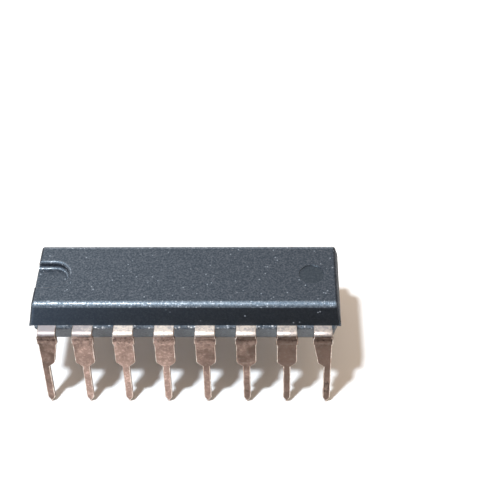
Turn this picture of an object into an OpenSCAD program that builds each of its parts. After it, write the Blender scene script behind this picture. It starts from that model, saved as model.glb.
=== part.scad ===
// Integrated circuit in a 16-lead dual in-line package, in millimetres.
// The lead tips stand on z = 0 and the origin is the middle of their footprint.
// X runs along the body, away from the notch. Leads 1 to 8 are along -Y from the notch
// end, and leads 9 to 16 come back along +Y.

/* [Moulding] */
// Width at the parting line
body_width = 6.25; // [6:0.05:7]
// Length beyond the middle of each end lead
end_margin = 0.81; // [0.7:0.01:1]
// Height of the upper half above the parting line
upper_height = 1.32; // [1.1:0.02:1.7]
// Depth of the lower half below the parting line
lower_height = 1.98; // [1.6:0.02:2.4]
// Draft of the upper half's long sides, in degrees
upper_draft = 25; // [8:1:28]
// Draft of the lower half's long sides, in degrees
lower_draft = 13; // [5:1:18]
// Draft of both halves' ends, in degrees
end_draft = 10; // [5:1:15]
// Overhang of the upper half over the lower half
parting_step = 0.1; // [0.05:0.01:0.2]
// Radius along the long edges of both faces
edge_round = 0.35; // [0.2:0.01:0.45]
// Radius along the end edges of both faces
end_round = 0.2; // [0.1:0.01:0.3]
// Radius of the four upright corners
corner_round = 0.2; // [0.1:0.01:0.3]
// Reach of the resin web between the leads, from the lower half's wall
web_reach = 0.2; // [0.12:0.01:0.35]

/* [Notch and mould marks] */
// Width of the notch at the lead 1 end
notch_width = 2.08; // [1.4:0.02:2.6]
// Length of the notch from the edge of the top face
notch_length = 2.02; // [1.4:0.02:2.6]
// Depth of the notch
notch_depth = 0.5; // [0.35:0.01:0.7]
// Radius of the notch's rim
notch_rim = 0.1; // [0.05:0.01:0.15]
// Radius along the foot of the notch's wall
notch_foot = 0.12; // [0.05:0.01:0.16]
// Diameter of the round mark on the top
dimple_diameter = 1.57; // [1:0.01:2.2]
// Distance of that mark's middle from the end of the body
dimple_inset = 1.78; // [1.6:0.01:3]
// Diameter of the two ejector marks underneath
ejector_diameter = 2.98; // [2:0.02:3.6]
// Distance of their middles from the ends of the body
ejector_inset = 3.21; // [2.6:0.01:4.5]
// Depth of all the round marks
mark_depth = 0.06; // [0.03:0.01:0.12]

/* [Leads] */
// Distance from lead to lead
pitch = 2.54; // [2.4:0.01:2.7]
// Thickness of the lead frame
frame_thickness = 0.25; // [0.2:0.01:0.3]
// Height of the parting line and the leads' top face over the tips
frame_height = 5.9; // [5.4:0.05:6.6]
// Width of a lead at its shoulder
shoulder_width = 1.25; // [1:0.01:1.4]
// Flat run of the shoulder outside the body
shoulder_run = 0.43; // [0.3:0.01:0.8]
// Inner radius of the bend
bend_radius = 0.1; // [0.08:0.01:0.25]
// Outward slope of the legs, in degrees
splay = 7; // [0:0.5:10]
// Reach of the sheared bar ends on each side of a lead
stub_reach = 0.06; // [0.03:0.01:0.1]
// Height of the sheared bar ends
stub_height = 0.5; // [0.3:0.01:0.7]
// Width of the thin leg
leg_width = 0.46; // [0.36:0.01:0.56]
// Length of the thin leg with its tip
leg_length = 3.17; // [2.9:0.01:3.6]
// Radius of the corners above the thin leg
neck_round = 0.3; // [0.15:0.01:0.35]
// Length of the pointed tip
tip_length = 0.38; // [0.25:0.01:0.5]
// Width and length of the sheared end of the tip
nib = 0.11; // [0.08:0.01:0.15]

/* [End leads] */
// Width of an end lead from its middle towards its neighbour, at the shoulder
end_inner = 0.88; // [0.7:0.01:1]
// The same width just above the thin leg
end_inner_low = 0.64; // [0.5:0.01:0.7]
// Width from its middle towards the end of the body
end_outer = 0.25; // [0.24:0.01:0.3]

/* [Lead fingers in the body] */
// Length of the full-width anchor inside the body
anchor_length = 0.55; // [0.4:0.01:0.7]
// Width of a finger
finger_width = 0.28; // [0.2:0.01:0.32]
// Space between the fingers at the short sides of the pad
finger_space = 0.17; // [0.12:0.01:0.22]
// Space between the finger ends and the pad
finger_gap = 0.3; // [0.2:0.01:0.4]
// Distance of the first finger from the middle of the body
first_finger_x = 0.8; // [0.6:0.05:1]
// Distance of a wire's stitch from the end of its finger
stitch_inset = 0.12; // [0.08:0.01:0.2]

/* [Die pad] */
// Length of the pad
pad_length = 3.2; // [2.8:0.05:3.8]
// Width of the pad
pad_width = 2.4; // [2.2:0.05:2.6]
// Width of the tie bars beside the pad
tie_width = 0.25; // [0.2:0.01:0.3]
// Width of the tie bars' cut ends
tie_end_width = 0.6; // [0.4:0.01:0.9]
// Length of those wide ends, and of the taper behind them
tie_taper = 1; // [0.6:0.1:1.5]

/* [Die and wires] */
// Length of the die
die_length = 1.9; // [1.6:0.05:2.4]
// Width of the die
die_width = 1.5; // [1.3:0.05:1.8]
// Thickness of the die
die_thickness = 0.28; // [0.2:0.01:0.35]
// Thickness of the adhesive under the die
attach_thickness = 0.03; // [0.02:0.01:0.05]
// Reach of the adhesive past the die
attach_margin = 0.1; // [0.05:0.01:0.15]
// Diameter of a bond wire
wire_diameter = 0.033; // [0.025:0.001:0.05]
// Height of the wire loops over the die
loop_height = 0.22; // [0.15:0.01:0.3]
// Diameter of the ball under each wire
ball_diameter = 0.09; // [0.07:0.01:0.12]
// Distance of the balls from the edge of the die
bond_inset = 0.12; // [0.08:0.01:0.16]
// Distance between balls
bond_pitch = 0.32; // [0.26:0.01:0.36]

/* [Hidden] */
row_leads = 8;
lead_numbers = [1:2 * row_leads];
$fn = 48;

// The body grows with the lead rows
body_length = (row_leads - 1) * pitch + 2 * end_margin;
top_z = frame_height + upper_height;
bottom_z = frame_height - lower_height;
lower_length = body_length - 2 * parting_step;
lower_width = body_width - 2 * parting_step;
top_length = body_length - 2 * upper_height * tan(end_draft);
ball_height = wire_diameter;

// The bend's axis, and the leg's length from there to the tip along its own slope
bend_outer = bend_radius + frame_thickness;
bend_y = body_width / 2 + shoulder_run;
bend_z = frame_height - bend_outer;
leg_reach = (bend_z + bend_radius * sin(splay)) / cos(splay);
stub_top = 0.04;
neck_s = leg_reach - leg_length;
neck_angle = 50;

// Finger ends and elbows in one quarter of the frame, from its middle outwards
side_end_x = pad_length / 2 + finger_gap;
row_end_y = pad_width / 2 + finger_gap;
finger_step = finger_width + finger_space;
low_end_y = tie_width / 2 + finger_space + finger_width / 2;
finger_ends = [
    [first_finger_x, row_end_y],
    [pad_length / 2 + finger_space, row_end_y],
    [side_end_x, low_end_y + finger_step],
    [side_end_x, low_end_y]
];
// Way from the end of each finger to its elbow
finger_elbows = finger_step * [[0, 0.8], [1.2, 0.7], [3.3, 0], [8, 0]];

// Balls on the die in one quarter, in the order of the fingers
die_z = frame_height + attach_thickness;
die_top_z = die_z + die_thickness;
balls = [
    [bond_pitch / 2, die_width / 2 - bond_inset],
    [bond_pitch * 3 / 2, die_width / 2 - bond_inset],
    [die_length / 2 - bond_inset, bond_pitch * 3 / 2],
    [die_length / 2 - bond_inset, bond_pitch / 2]
];
wire_sides = 6;
wire_steps = 9;
// Straight steps in each small arc of an outline
arc_steps = 4;

resin = [0.24, 0.28, 0.33];
tarnished_copper = [0.66, 0.53, 0.46];
adhesive = [0.75, 0.75, 0.72];
silicon = [0.42, 0.45, 0.5];
gold = [0.9, 0.72, 0.3];

function unit(v) = v / norm(v);
function left_of(v) = [-v[1], v[0]];
function reversed(list) = [for (i = [len(list) - 1:-1:0]) list[i]];
function mirrored(list) = [for (p = list) [-p[0], p[1]]];
function arc(centre, radius, from, to) = [
    for (i = [0:arc_steps])
        let (a = from + (to - from) * i / arc_steps)
        centre + radius * [cos(a), sin(a)]
];

// Where lead k stands: its column along X, its half of the body and its row
function column(k) = k <= row_leads ? k - (row_leads + 1) / 2 : (3 * row_leads + 1) / 2 - k;
function place_in_quarter(k) = abs(column(k)) - 0.5;
function lead_x(j) = (j + 0.5) * pitch;
function is_end(j) = j == row_leads / 2 - 1;

// Turns what is modelled in the +X +Y quarter into the quarter of lead k
module in_quarter(k) {
    mirror([column(k) < 0 ? 1 : 0, 0, 0])
        mirror([0, k <= row_leads ? 1 : 0, 0])
            children();
}

// Trapezium on the X axis with its two upper corners rounded
module drafted_section(base, height, draft, radius) {
    top = base / 2 - height * tan(draft);
    run = radius * tan(45 - draft / 2);
    upper = [top - run, height];
    side = [top + run * sin(draft), height - run * cos(draft)];
    polygon([[base / 2, 0], side, upper, [-upper[0], upper[1]], [-side[0], side[1]], [-base / 2, 0]]);
    for (x = [-upper[0], upper[0]])
        translate([x, height - radius]) circle(radius);
}

// Removes the sharp edge where a side and an end of a drafted block meet
module corner_cut(length, width, height, side_draft) {
    radius = corner_round;
    edge = unit([-tan(end_draft), -tan(side_draft), 1]);
    side_normal = [0, cos(side_draft), sin(side_draft)];
    end_normal = [cos(end_draft), 0, sin(end_draft)];
    tilt = acos(edge[2]);
    turn = atan2(edge[1], edge[0]);
    // Both normals in the frame that has the edge as its Z axis
    function local(v) = [
        v * [cos(turn) * cos(tilt), sin(turn) * cos(tilt), -sin(tilt)],
        v * [-sin(turn), cos(turn), 0]
    ];
    a = local(side_normal);
    b = local(end_normal);
    centre = -radius * (a + b) / (1 + a * b);
    far = 3 * radius;
    translate([length / 2, width / 2, 0])
        rotate([0, tilt, turn])
            translate([0, 0, -height])
                linear_extrude(3 * height)
                    difference() {
                        polygon([centre, centre + far * a, centre + far * (a + b), centre + far * b]);
                        translate(centre) circle(radius);
                    }
}

// One half of the moulding, standing on its parting face
module moulded_half(length, width, height, side_draft) {
    difference() {
        intersection() {
            rotate([90, 0, 90])
                translate([0, 0, -length])
                    linear_extrude(2 * length) drafted_section(width, height, side_draft, edge_round);
            rotate([90, 0, 0])
                translate([0, 0, -width])
                    linear_extrude(2 * width) drafted_section(length, height, end_draft, end_round);
        }
        for (mx = [0, 1], my = [0, 1])
            mirror([mx, 0, 0]) mirror([0, my, 0])
                corner_cut(length, width, height, side_draft);
    }
}

// Half of the notch's cross-section, from the middle to the wall, floor at zero
module notch_section() {
    half = notch_width / 2;
    rim = notch_rim;
    foot = notch_foot;
    polygon(concat(
        [[0, 0]],
        arc([half - foot, foot], foot, -90, 0),
        arc([half + rim, notch_depth - rim], rim, 180, 90),
        [[half + rim, notch_depth + rim], [0, notch_depth + rim]]
    ));
}

module notch() {
    round_x = -top_length / 2 + notch_length - notch_width / 2;
    translate([round_x, 0, top_z - notch_depth]) {
        rotate_extrude() notch_section();
        rotate([90, 0, -90])
            linear_extrude(notch_length + end_margin) {
                notch_section();
                mirror([1, 0]) notch_section();
            }
    }
}

module round_marks() {
    translate([body_length / 2 - dimple_inset, 0, top_z - mark_depth])
        cylinder(d = dimple_diameter, h = 2 * mark_depth);
    for (side = [-1, 1])
        translate([side * (body_length / 2 - ejector_inset), 0, bottom_z - mark_depth])
            cylinder(d = ejector_diameter, h = 2 * mark_depth);
}

// Web of resin left in the plane of the frame, between the leads and out to the corners
module resin_web() {
    length = lower_length - 2 * corner_round;
    width = lower_width + 2 * web_reach;
    translate([-length / 2, -width / 2, frame_height - frame_thickness])
        cube([length, width, frame_thickness]);
}

module package_body() {
    color(resin)
        difference() {
            union() {
                translate([0, 0, frame_height])
                    moulded_half(body_length, body_width, upper_height, upper_draft);
                translate([0, 0, frame_height])
                    mirror([0, 0, 1]) moulded_half(lower_length, lower_width, lower_height, lower_draft);
                resin_web();
            }
            notch();
            round_marks();
            for (k = lead_numbers) lead(k);
            die_pad();
            die_attach();
            die();
            for (k = lead_numbers) bond_wire(k);
        }
}

// Reach of lead j from its middle towards the middle of the body, and towards its end
function inner_reach(j) = is_end(j) ? end_inner : shoulder_width / 2;
function outer_reach(j) = is_end(j) ? end_outer : shoulder_width / 2;

// Tip of every lead: a point cut off square
tip_edge = [[leg_width / 2, leg_reach - tip_length], [nib / 2, leg_reach - nib], [nib / 2, leg_reach]];

// Sheared bar end on the edge of a leg
function stub_edge(reach) = [
    [reach, 0], [reach, stub_top], [reach + stub_reach, stub_top],
    [reach + stub_reach, stub_top + stub_height], [reach, stub_top + stub_height]
];

// Round corner above the thin leg, for a wide part that ends at the given reach
function neck_edge(reach) =
    let (
        drop = neck_round * sin(neck_angle),
        inset = reach - neck_round * (1 - cos(neck_angle)) - leg_width / 2,
        start = neck_s - drop - inset / tan(neck_angle)
    )
    concat(arc([reach - neck_round, start], neck_round, 0, neck_angle), [[leg_width / 2, neck_s]]);

// One edge of a leg from the bend to the tip, as reach from its middle and run down its slope
function leg_edge(upper, lower) = concat(stub_edge(upper), neck_edge(lower), tip_edge);
function straight_edge(reach) = concat(stub_edge(reach), [[leg_width / 2, neck_s]], tip_edge);

module leg(j) {
    inner = leg_edge(inner_reach(j), is_end(j) ? end_inner_low : shoulder_width / 2);
    outer = is_end(j) ? straight_edge(end_outer) : leg_edge(outer_reach(j), outer_reach(j));
    rotate([splay - 90, 0, 0])
        translate([0, 0, bend_radius])
            linear_extrude(frame_thickness)
                polygon(concat(outer, reversed(mirrored(inner))));
}

module bend(j) {
    translate([-inner_reach(j), 0, 0])
        rotate([0, 90, 0])
            rotate([0, 0, 90 + splay])
                rotate_extrude(angle = 90 - splay)
                    translate([bend_radius, 0]) square([frame_thickness, inner_reach(j) + outer_reach(j)]);
}

// One edge of a flat strip, from its middle line and its half width at each point
function ribbon_edge(path, half, side) = [
    for (i = [0:len(path) - 1])
        let (
            before = unit(i > 0 ? path[i] - path[i - 1] : path[1] - path[0]),
            after = i < len(path) - 1 ? unit(path[i + 1] - path[i]) : before,
            along = unit(before + after)
        )
        path[i] + side * half[i] / (along * before) * left_of(along)
];

// Flat strip of changing width along a path
module ribbon(path, half) {
    polygon(concat(ribbon_edge(path, half, 1), reversed(ribbon_edge(path, half, -1))));
}

// Shoulder and anchor at full width, and the finger from there to the pad
module flat_part(j) {
    width = inner_reach(j) + outer_reach(j);
    x = lead_x(j) + (outer_reach(j) - inner_reach(j)) / 2;
    anchor_y = body_width / 2 - anchor_length;
    elbow = finger_ends[j] + finger_elbows[j];
    path = [[x, anchor_y + finger_width], [x, anchor_y], elbow, finger_ends[j]];
    translate([0, 0, frame_height - frame_thickness])
        linear_extrude(frame_thickness) {
            translate([x - width / 2, anchor_y]) square([width, bend_y - anchor_y]);
            ribbon(path, [for (p = path) finger_width / 2]);
        }
}

module lead(k) {
    j = place_in_quarter(k);
    color(tarnished_copper)
        in_quarter(k) {
            flat_part(j);
            translate([lead_x(j), bend_y, bend_z]) {
                bend(j);
                leg(j);
            }
        }
}

// Pad in the middle, with the tie bars that held it in the frame out to both ends
module die_pad() {
    tie_end = lower_length / 2;
    edge = [
        [pad_length / 2, pad_width / 2],
        [pad_length / 2, tie_width / 2],
        [tie_end - 2 * tie_taper, tie_width / 2],
        [tie_end - tie_taper, tie_end_width / 2],
        [tie_end, tie_end_width / 2]
    ];
    one_end = concat(edge, [for (p = reversed(edge)) [p[0], -p[1]]]);
    color(tarnished_copper)
        translate([0, 0, frame_height - frame_thickness])
            linear_extrude(frame_thickness) polygon(concat(one_end, -one_end));
}

module die_attach() {
    color(adhesive)
        translate([-die_length / 2 - attach_margin, -die_width / 2 - attach_margin, frame_height])
            cube([die_length + 2 * attach_margin, die_width + 2 * attach_margin, attach_thickness]);
}

module die() {
    color(silicon)
        translate([-die_length / 2, -die_width / 2, die_z])
            cube([die_length, die_width, die_thickness]);
}

// Round wire along a path in the upright plane of the given heading
module wire(points, tangents, heading, radius) {
    across = left_of(heading);
    rings = [
        for (i = [0:len(points) - 1], s = [0:wire_sides - 1])
            let (
                t = tangents[i],
                lift = [-t[2] * heading[0], -t[2] * heading[1], t[0] * heading[0] + t[1] * heading[1]],
                a = 360 * s / wire_sides
            )
            points[i] + radius * (cos(a) * [across[0], across[1], 0] + sin(a) * lift)
    ];
    last = (len(points) - 1) * wire_sides;
    walls = [
        for (i = [0:len(points) - 2], s = [0:wire_sides - 1])
            let (n = (s + 1) % wire_sides, low = i * wire_sides, high = low + wire_sides)
            [high + s, high + n, low + n, low + s]
    ];
    polyhedron(
        rings,
        concat([[for (s = [0:wire_sides - 1]) s]], walls, [[for (s = [wire_sides - 1:-1:0]) last + s]])
    );
}

// Loop from a ball on the die to a stitch on the finger, upright at both ends
module bond_wire(k) {
    j = place_in_quarter(k);
    finger = unit(finger_elbows[j]);
    from = [balls[j][0], balls[j][1], die_top_z + ball_height];
    stitch = finger_ends[j] + stitch_inset * finger;
    to = [stitch[0], stitch[1], frame_height];
    way = to - from;
    heading = unit([way[0], way[1]]);
    angles = [for (i = [0:wire_steps]) 180 * i / wire_steps];
    points = [for (a = angles) from + way * (1 - cos(a)) / 2 + [0, 0, loop_height * sin(a)]];
    tangents = [for (a = angles) unit(way * sin(a) / 2 + [0, 0, loop_height * cos(a)])];
    color(gold)
        in_quarter(k) {
            wire(points, tangents, heading, wire_diameter / 2);
            translate([from[0], from[1], die_top_z])
                cylinder(d = ball_diameter, h = ball_height, $fn = 12);
        }
}

package_body();
for (k = lead_numbers)
    lead(k);
die_pad();
die_attach();
die();
for (k = lead_numbers)
    bond_wire(k);
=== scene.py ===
"""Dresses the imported 16-lead dual in-line package and sets its floor, light and camera.

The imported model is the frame: it gives the body's box and holds the pieces inside the resin. The
resin body and the formed leads are modelled again here with their rounded edges, mould marks and
flash. Each is modelled in millimetres and brought to metres when it is finished.
"""
import logging
import math
from dataclasses import dataclass
from enum import Enum, IntEnum
from functools import partial, reduce
from typing import Callable, Optional, Sequence

import bmesh
import bpy
from mathutils import Matrix, Vector


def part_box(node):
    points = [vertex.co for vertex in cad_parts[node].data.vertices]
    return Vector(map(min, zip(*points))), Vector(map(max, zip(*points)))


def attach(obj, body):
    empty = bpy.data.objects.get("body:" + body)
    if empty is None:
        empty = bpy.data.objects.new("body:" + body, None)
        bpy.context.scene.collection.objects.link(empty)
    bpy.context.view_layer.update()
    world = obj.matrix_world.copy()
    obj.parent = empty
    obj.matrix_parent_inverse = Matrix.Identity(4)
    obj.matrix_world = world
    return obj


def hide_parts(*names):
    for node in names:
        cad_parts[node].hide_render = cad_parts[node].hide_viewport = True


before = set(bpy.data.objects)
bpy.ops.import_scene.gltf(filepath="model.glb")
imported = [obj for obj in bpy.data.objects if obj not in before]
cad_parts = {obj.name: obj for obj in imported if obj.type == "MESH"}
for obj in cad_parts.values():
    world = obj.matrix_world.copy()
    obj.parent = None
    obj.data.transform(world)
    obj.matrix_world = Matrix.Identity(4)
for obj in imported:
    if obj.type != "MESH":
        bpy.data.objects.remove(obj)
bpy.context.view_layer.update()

log = logging.getLogger("package")
BODY = "root"
MM = 0.001
NEAR = 1e-3
MERGE = 1e-4
FACING = 0.9
LEVEL = 0.999
BLACK, WHITE = (0.0, 0.0, 0.0), (1.0, 1.0, 1.0)
WHOLE = (0.0, 1.0)
BODY_CREASE, FLASH_CREASE, LEAD_CREASE = 35.0, 20.0, 40.0
FLASH_SEAT = 0.03
BURNISHED_SLOT = 1

Piece = bpy.types.Object
Material = bpy.types.Material
Socket = bpy.types.NodeSocket
Outputs = bpy.types.NodeOutputs
Span = tuple[float, float]
Colour = tuple[float, float, float]
Place = tuple[float, float, float]
Mark = tuple[float, float, float]
Profile = list[Span]


class Part(Enum):
    """What an edit-mode selection is made of."""

    VERT = "VERT"
    EDGE = "EDGE"
    FACE = "FACE"


class Slot(Enum):
    """Material slots of the new pieces, given to Package.finish, which does not use them."""

    RESIN = "resin"
    LEAD_FRAME = "lead_frame"


class Area(IntEnum):
    """The resin body's areas, in the order of its material slots."""

    GRAINED = 0
    SMOOTH = 1
    # The rounded top edges and the notch's rim: glossier, and painted lighter with dense bright glints as
    # a painted highlight.
    ROUNDED = 2
    LOWER = 3
    MATT = 4
    # The upper half's long sides: painted near black, darker than the top, as painted shade; also
    # glossier.
    SIDE = 5


class Bench:
    """Modelling steps on one piece at a time, each a short run of operators."""

    @staticmethod
    def clear() -> None:
        """Leaves edit mode and deselects everything."""
        if bpy.context.object is not None and bpy.context.object.mode != "OBJECT":
            bpy.ops.object.mode_set(mode="OBJECT")
        bpy.ops.object.select_all(action="DESELECT")

    @staticmethod
    def hold(piece: Piece) -> None:
        """Makes a piece the only selected one, in object mode.

        Args:
            piece: The piece.
        """
        Bench.clear()
        piece.select_set(True)
        bpy.context.view_layer.objects.active = piece

    @staticmethod
    def edit(piece: Piece) -> None:
        """Opens a piece in edit mode, as the only selected one."""
        Bench.hold(piece)
        bpy.ops.object.mode_set(mode="EDIT")

    @staticmethod
    def settle() -> None:
        """Takes the selected piece's place, turn and scale into its mesh."""
        bpy.ops.object.transform_apply(location=True, rotation=True, scale=True)

    @staticmethod
    def coat(piece: Piece, *finishes: Material) -> None:
        """Gives a piece its materials.

        Args:
            piece: The piece.
            *finishes: The materials, in the order of its slots.
        """
        piece.data.materials.clear()
        for finish in finishes:
            piece.data.materials.append(finish)

    @staticmethod
    def box(name: str, low: Sequence[float], high: Sequence[float]) -> Piece:
        """Adds a box.

        Args:
            name: Name of the new piece.
            low: Its lowest corner.
            high: Its highest corner.

        Returns:
            The box, with its place in its mesh.
        """
        Bench.clear()
        low, high = Vector(low), Vector(high)
        bpy.ops.mesh.primitive_cube_add(size=1.0, location=(low + high) / 2)
        piece = bpy.context.object
        piece.name = name
        piece.scale = high - low
        Bench.settle()
        return piece

    @staticmethod
    def pick(piece: Piece, part: Part, test: Callable[[object], bool]) -> None:
        """Selects what passes a test, in edit mode.

        Args:
            piece: The piece to edit.
            part: Whether vertices, edges or faces are tested.
            test: Says whether one of them is selected.
        """
        if piece.mode != "EDIT":
            Bench.edit(piece)
        bpy.ops.mesh.select_mode(type=part.value)
        bpy.ops.mesh.select_all(action="DESELECT")
        mesh = bmesh.from_edit_mesh(piece.data)
        for item in {Part.VERT: mesh.verts, Part.EDGE: mesh.edges, Part.FACE: mesh.faces}[part]:
            if test(item):
                item.select_set(True)
        mesh.select_flush_mode()
        bmesh.update_edit_mesh(piece.data)

    @staticmethod
    def move(by: Sequence[float]) -> None:
        """Moves the selection."""
        bpy.ops.transform.translate(value=tuple(by))

    @staticmethod
    def stretch(factors: Sequence[float], about: Sequence[float]) -> None:
        """Scales the selection about a point."""
        bpy.ops.transform.resize(value=tuple(factors), center_override=tuple(about))

    @staticmethod
    def extrude(by: Sequence[float]) -> None:
        """Extrudes the selected faces and moves the new ones."""
        bpy.ops.mesh.extrude_region_move(TRANSFORM_OT_translate={"value": tuple(by)})

    @staticmethod
    def modify(piece: Piece, kind: str, **settings: object) -> None:
        """Adds a modifier and applies it.

        Args:
            piece: The piece to modify.
            kind: The modifier's type.
            **settings: Its values, by name.
        """
        Bench.hold(piece)
        bpy.ops.object.modifier_add(type=kind)
        modifier = piece.modifiers[-1]
        for name, value in settings.items():
            setattr(modifier, name, value)
        bpy.ops.object.modifier_apply(modifier=modifier.name)

    @staticmethod
    def combine(piece: Piece, tool: Piece, operation: str) -> None:
        """Joins a tool to a piece or cuts it out, and deletes the tool.

        Args:
            piece: The piece that stays.
            tool: The other solid.
            operation: UNION or DIFFERENCE.
        """
        Bench.modify(piece, "BOOLEAN", operation=operation, solver="EXACT", object=tool)
        bpy.data.objects.remove(tool)

    @staticmethod
    def weigh(piece: Piece, weight: Callable[[bmesh.types.BMEdge], float]) -> None:
        """Gives each edge its share of the bevel's width.

        Args:
            piece: The piece to mark.
            weight: Returns an edge's share, from 0 to 1.
        """
        Bench.edit(piece)
        mesh = bmesh.from_edit_mesh(piece.data)
        layer = mesh.edges.layers.float.new("bevel_weight_edge")
        for edge in mesh.edges:
            edge[layer] = weight(edge)
        bmesh.update_edit_mesh(piece.data)
        Bench.clear()

    @staticmethod
    def join(name: str, pieces: Sequence[Piece]) -> Piece:
        """Makes one object of several.

        Args:
            name: Name of the joined object.
            pieces: What is joined, two or more.

        Returns:
            The joined object.
        """
        Bench.hold(pieces[0])
        for piece in pieces:
            piece.select_set(True)
        bpy.ops.object.join()
        pieces[0].name = name
        return pieces[0]

    @staticmethod
    def face_outwards(piece: Piece) -> None:
        """Merges doubles and turns every face outwards.

        Args:
            piece: The piece.
        """
        Bench.edit(piece)
        bpy.ops.mesh.select_all(action="SELECT")
        bpy.ops.mesh.remove_doubles(threshold=MERGE)
        bpy.ops.mesh.normals_make_consistent(inside=False)
        Bench.clear()

    @staticmethod
    def to_metres(piece: Piece, crease: float) -> None:
        """Brings a finished piece to metres and shades it.

        Args:
            piece: A piece modelled in millimetres.
            crease: Angle over which an edge stays sharp, in degrees.
        """
        Bench.hold(piece)
        piece.scale = (MM, MM, MM)
        Bench.settle()
        bpy.ops.object.shade_smooth_by_angle(angle=math.radians(crease))
        Bench.modify(piece, "WEIGHTED_NORMAL", keep_sharp=True)


class Sheet:
    """A node tree being filled."""

    def __init__(self, tree: bpy.types.NodeTree) -> None:
        """Starts on a tree, which it empties."""
        self.tree = tree
        tree.nodes.clear()

    def add(self, kind: str, inputs: Optional[dict] = None, **settings: object) -> bpy.types.Node:
        """Adds a node.

        Args:
            kind: Its type, without the ShaderNode prefix.
            inputs: A value, or a socket to link, for each named or numbered input.
            **settings: The node's own properties.

        Returns:
            The node.
        """
        node = self.tree.nodes.new("ShaderNode" + kind)
        for name, value in settings.items():
            setattr(node, name, value)
        for key, value in (inputs or {}).items():
            socket = node.inputs[key]
            if isinstance(value, Socket):
                self.tree.links.new(value, socket)
            else:
                socket.default_value = (*value, 1.0) if socket.type == "RGBA" else value
        return node

    def math(self, operation: str, *values: object, clamp: bool = True) -> Socket:
        """Adds a Math node and returns its result, held between 0 and 1 unless clamp is off."""
        return self.add("Math", dict(enumerate(values)), operation=operation, use_clamp=clamp).outputs[0]

    def chain(self, operation: str, *values: Socket) -> Socket:
        """Takes the first value through the same operation with each of the others, as math does."""
        return reduce(partial(self.math, operation), values)

    def blend(self, factor: object, a: object, b: object) -> Socket:
        """Adds a colour mix and returns its result."""
        return self.add("Mix", {0: factor, 6: a, 7: b}, data_type="RGBA").outputs[2]

    def ramp(self, value: Socket, span: Span, to: Span = WHOLE) -> Socket:
        """Maps the span of a value to another span, held at its ends."""
        return self.add("MapRange", dict(enumerate((value, *span, *to)))).outputs[0]

    def mark(self, place: Socket, start: float, full: float, share: float = 1.0) -> Socket:
        """Maps a place in metres to 0 at the start of a mark, in millimetres, and a share where full."""
        return self.ramp(place, (start * MM, full * MM), (0.0, share))


def new_material(name: str) -> tuple[Material, Sheet]:
    """Adds a material.

    Args:
        name: Its name.

    Returns:
        The material, and the empty sheet of its nodes.
    """
    material = bpy.data.materials.new(name)
    material.use_nodes = True
    return material, Sheet(material.node_tree)


class Effect:
    """A shader node group that several finishes use."""

    name = ""
    scalars: dict[str, float] = {}
    results: tuple[str, ...] = ()

    def __init__(self) -> None:
        """Builds the group with its sockets."""
        self.tree = bpy.data.node_groups.new(self.name, "ShaderNodeTree")
        new_socket = partial(self.tree.interface.new_socket, socket_type="NodeSocketFloat")
        for socket, value in self.scalars.items():
            new_socket(socket, in_out="INPUT").default_value = value
        for socket in self.results:
            new_socket(socket, in_out="OUTPUT")
        sheet = Sheet(self.tree)
        entry = self.tree.nodes.new("NodeGroupInput")
        leave = self.tree.nodes.new("NodeGroupOutput")
        place = sheet.add("TexCoord").outputs["Object"]
        in_mm = sheet.add("VectorMath", {0: place, "Scale": 1 / MM}, operation="SCALE").outputs[0]
        for socket, value in self.draw(sheet, entry.outputs, in_mm).items():
            self.tree.links.new(value, leave.inputs[socket])

    def draw(self, sheet: Sheet, given: Outputs, place: Socket) -> dict:
        """Draws the pattern.

        Args:
            sheet: The group's sheet.
            given: The group's inputs.
            place: Position in millimetres.

        Returns:
            A socket for each result.
        """
        raise NotImplementedError

    def put(self, sheet: Sheet, **values: float) -> Outputs:
        """Places the group on a material's sheet.

        Args:
            sheet: The material's sheet.
            **values: The group's inputs, by name, with underscores for spaces.

        Returns:
            The group's results, by name.
        """
        node = sheet.tree.nodes.new("ShaderNodeGroup")
        node.node_tree = self.tree
        for name, value in values.items():
            node.inputs[name.replace("_", " ")].default_value = value
        return node.outputs


class Grain(Effect):
    """Moulded grain: fine speckle, rare bright glints and a height."""

    name = "moulded_grain"
    scalars = {"Cells per mm": 12.0, "Glint share": 0.03}
    results = ("Speckle", "Glint", "Height")
    speckled: Span = (0.36, 0.66)
    glint_edge: Span = (0.45, 0.15)

    def draw(self, sheet: Sheet, given: Outputs, place: Socket) -> dict:
        """Draws the speckle from fine noise and the glints from single cells, as Effect.draw says."""
        scale = given["Cells per mm"]
        noise = sheet.add("TexNoise", {"Vector": place, "Scale": scale, "Detail": 5.0,
                                       "Roughness": 0.75}).outputs[0]
        cells = sheet.add("TexVoronoi", {"Vector": place, "Scale": scale, "Randomness": 1.0}).outputs
        chance = sheet.add("SeparateColor", {0: cells["Color"]}).outputs[0]
        rare = sheet.math("LESS_THAN", chance, given["Glint share"])
        near = sheet.ramp(cells["Distance"], self.glint_edge)
        return {
            "Speckle": sheet.ramp(noise, self.speckled),
            "Glint": sheet.math("MULTIPLY", rare, near),
            "Height": noise,
        }


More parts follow.
